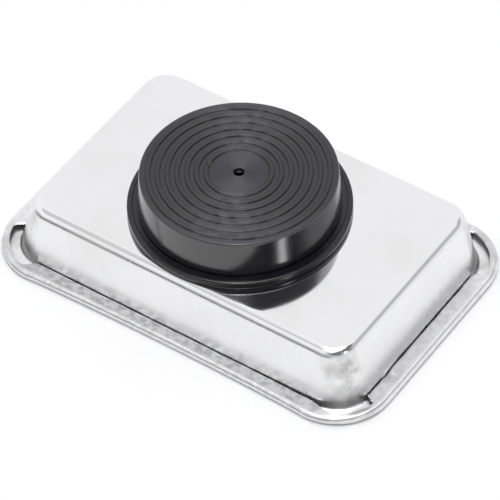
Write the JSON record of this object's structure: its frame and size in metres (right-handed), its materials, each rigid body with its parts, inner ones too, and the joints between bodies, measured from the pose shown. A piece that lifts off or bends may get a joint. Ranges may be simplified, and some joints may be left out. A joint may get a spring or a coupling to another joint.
{
  "type": "magnetic parts tray",
  "caption": "Small rectangular drawn steel tray with a hemmed rim and a round magnet in a ribbed black cap under its base, stored upside down on its rim.",
  "frame": {"origin": "centre of the rim's outline, on the plane that the rim rests on; the tray stands upside down, so its opening faces down and the magnet is on top", "axes": "+X along the long side, +Y along the short side, +Z from the rim through the base to the magnet's ribbed face. In use the part is turned over, half a turn about X, and stands on the magnet's face"},
  "size_m": [0.14, 0.094, 0.0366],
  "materials": {
    "stainless": "bright drawn stainless steel, softly clouded",
    "black_plastic": "satin black moulding",
    "zinc_steel": "zinc plated",
    "mild_steel": "bare rolled sheet",
    "ferrite": "dull sintered ferrite"
  },
  "bodies": {
    "root": {"tray_shell": "stainless", "fixing_stud": "zinc_steel", "magnet_seat": "black_plastic", "pole_plate": "mild_steel", "ring_magnet": "ferrite", "clamp_plate": "zinc_steel", "spring_washer": "zinc_steel", "fixing_nut": "zinc_steel", "magnet_cap": "black_plastic"}
  },
  "joints": []
}
